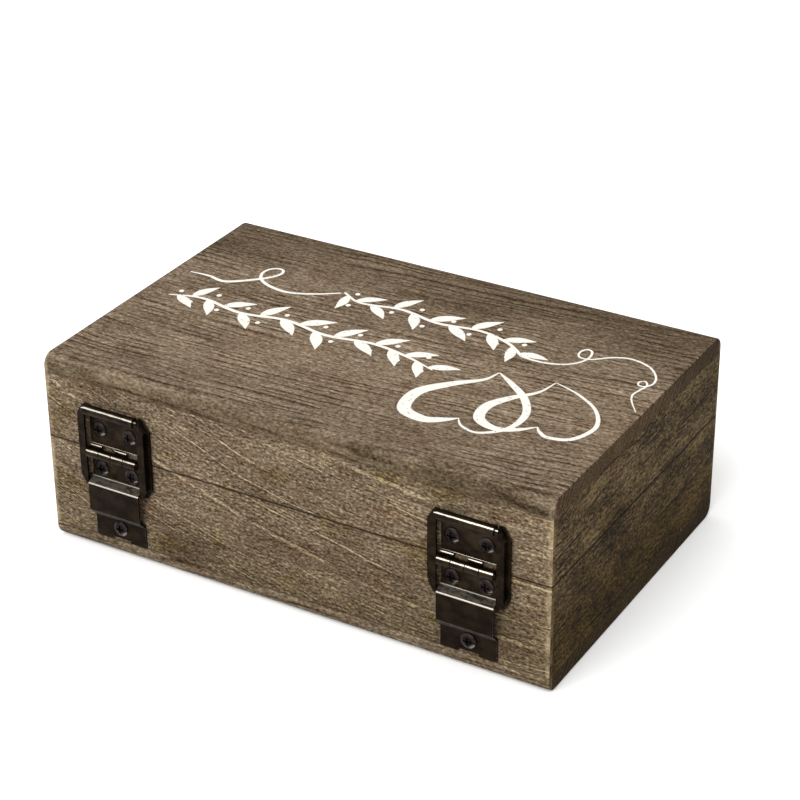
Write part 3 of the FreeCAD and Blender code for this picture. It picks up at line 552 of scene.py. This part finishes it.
def break_edges(width, *nodes):
    """Rounds a CAD node's sharp edges a little, as tumbling rounds a stamping: its loose
    triangles are joined first, then each edge sharper than the limit gets a narrow round."""
    for node in nodes:
        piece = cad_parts[node]
        piece.modifiers.new("join", "WELD").merge_threshold = 1e-6
        edge = piece.modifiers.new("edge", "BEVEL")
        edge.width = width / 1000
        edge.segments = 2
        edge.use_clamp_overlap = True
        edge.limit_method = "ANGLE"
        edge.angle_limit = math.radians(35)
        piece.modifiers.new("even", "WEIGHTED_NORMAL").weight = 100


HANDS = ("left", "right")
LIP_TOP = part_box("spring_tongue_left")[1].z * 1000
LIP_RISE = 2.0           # the tongue's lip over its raised part, as the part's source has it
LIP_FOOT = LIP_TOP - LIP_RISE - 0.15
STAMPING_ROUND = 0.14
film, glow, painted_highlight_tone = tone(26, 19, 13), tone(47, 38, 28), tone(178, 171, 159)
leaf_bronze = old_bronze("old_bronze_leaf", film, glow, painted_highlight_tone, 0.34)
# The tongue's lip gets two thin painted highlights, along its top and along its foot.
tongue_bronze = old_bronze("old_bronze_tongue", tone(22, 15, 10), tone(37, 28, 19), painted_highlight_tone, 0.40,
                           highlight_bands=((LIP_TOP, 0.26), (LIP_FOOT, 0.34)),
                           edge_wear_and_highlight_share=0.12)
link_bronze = old_bronze("old_bronze_link", tone(21, 15, 10), tone(40, 30, 20), painted_highlight_tone, 0.30,
                         edge_wear_and_highlight_share=0.16)
for hand in HANDS:
    put_on(leaf_bronze, f"lid_leaf_{hand}", f"base_leaf_{hand}", f"hinge_pin_{hand}")
    put_on(tongue_bronze, f"spring_tongue_{hand}")
    put_on(link_bronze, f"link_frame_{hand}")
    break_edges(STAMPING_ROUND, f"lid_leaf_{hand}", f"base_leaf_{hand}", f"spring_tongue_{hand}",
                f"link_frame_{hand}")


# ---------------------------------------------------------------- the screws
# Small steel wood screws with a domed head and a cross recess, blackened to go with the hinges.
HEAD_ROUND = 0.10
# The pale crescent low on the −X side of each head is a painted highlight.
screw_black = old_bronze("blackened_screw", tone(20, 16, 16), tone(36, 30, 30),
                         tone(122, 114, 110), 0.26, highlight_toward=(-0.354, 0.866, -0.354),
                         reach=(0.955, 0.988), edge_wear_and_highlight_share=0.10)
for hand in HANDS:
    screws = [f"{half}_screw_{hand}_{n}" for half in ("lid", "base") for n in (1, 2)]
    screws += [f"tongue_screw_{hand}"]
    put_on(screw_black, *screws)
    break_edges(HEAD_ROUND, *screws)


# ---------------------------------------------------------------- floor, light and camera
# A plain pale floor under one large soft light from behind the box and a pale sky.
def flat_floor(reach):
    """A square sheet of four corners, level with the underside of the box."""
    mesh = bpy.data.meshes.new("floor")
    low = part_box("base_bottom_panel")[0].z
    corners = [(-reach, -reach, low), (reach, -reach, low), (reach, reach, low), (-reach, reach, low)]
    mesh.from_pydata(corners, [], [(0, 1, 2, 3)])
    finish, tree, shader, place, _ = new_finish("pale_floor")
    drift = cloud(tree, place, (900, 900, 900), 2.0, 0.5)
    pale = lay_over(tree, drift, tone(246, 246, 246), tone(244, 244, 243))
    tree.links.new(pale, shader.inputs["Base Color"])
    shader.inputs["Roughness"].default_value = 0.9
    shader.inputs["Specular IOR Level"].default_value = 0.1
    mesh.materials.append(finish)
    floor = bpy.data.objects.new("floor", mesh)
    bpy.context.scene.collection.objects.link(floor)
    return floor


FLOOR_REACH = 6.0
flat_floor(FLOOR_REACH)


def soft_sun(name, away, strength, spread):
    """A far light that shines from a direction, with soft-edged shadows."""
    light = bpy.data.lights.new(name, "SUN")
    light.energy = strength
    light.angle = math.radians(spread)
    lamp = bpy.data.objects.new(name, light)
    bpy.context.scene.collection.objects.link(lamp)
    away = np.array(away) / np.linalg.norm(away)
    lamp.rotation_mode = "QUATERNION"
    lamp.rotation_quaternion = Vector(away).to_track_quat("Z", "Y")


soft_sun("window", (0.10, 1.0, 0.95), 2.6, 50)
world = bpy.data.worlds.new("pale_sky")
bpy.context.scene.world = world
world.use_nodes = True
sky = world.node_tree.nodes["Background"]
sky.inputs["Color"].default_value = (1.0, 1.0, 1.0, 1.0)
sky.inputs["Strength"].default_value = 1.02
bpy.context.scene.view_settings.view_transform = "Standard"

# The camera stands behind and to the left of the box and looks down on it.
turn, tip, lean = math.radians(210.3172), math.radians(28.9005), math.radians(-0.3891)
back = np.array([math.sin(turn) * math.cos(tip), -math.cos(turn) * math.cos(tip), math.sin(tip)])
level = np.array([math.cos(turn), math.sin(turn), 0.0])
over = np.cross(back, level)
right = math.cos(lean) * level + math.sin(lean) * over
upward = -math.sin(lean) * level + math.cos(lean) * over
stand = np.array([-0.375929, 0.632255, 0.457799])
lens = bpy.data.cameras.new("camera")
lens.sensor_width = 36.0
lens.lens = 106.3834
lens.clip_start = 0.01
lens.clip_end = 50.0
camera = bpy.data.objects.new("camera", lens)
bpy.context.scene.collection.objects.link(camera)
facing = np.column_stack([right, upward, back, stand])
camera.matrix_world = Matrix([*facing.tolist(), [0.0, 0.0, 0.0, 1.0]])
bpy.context.scene.camera = camera
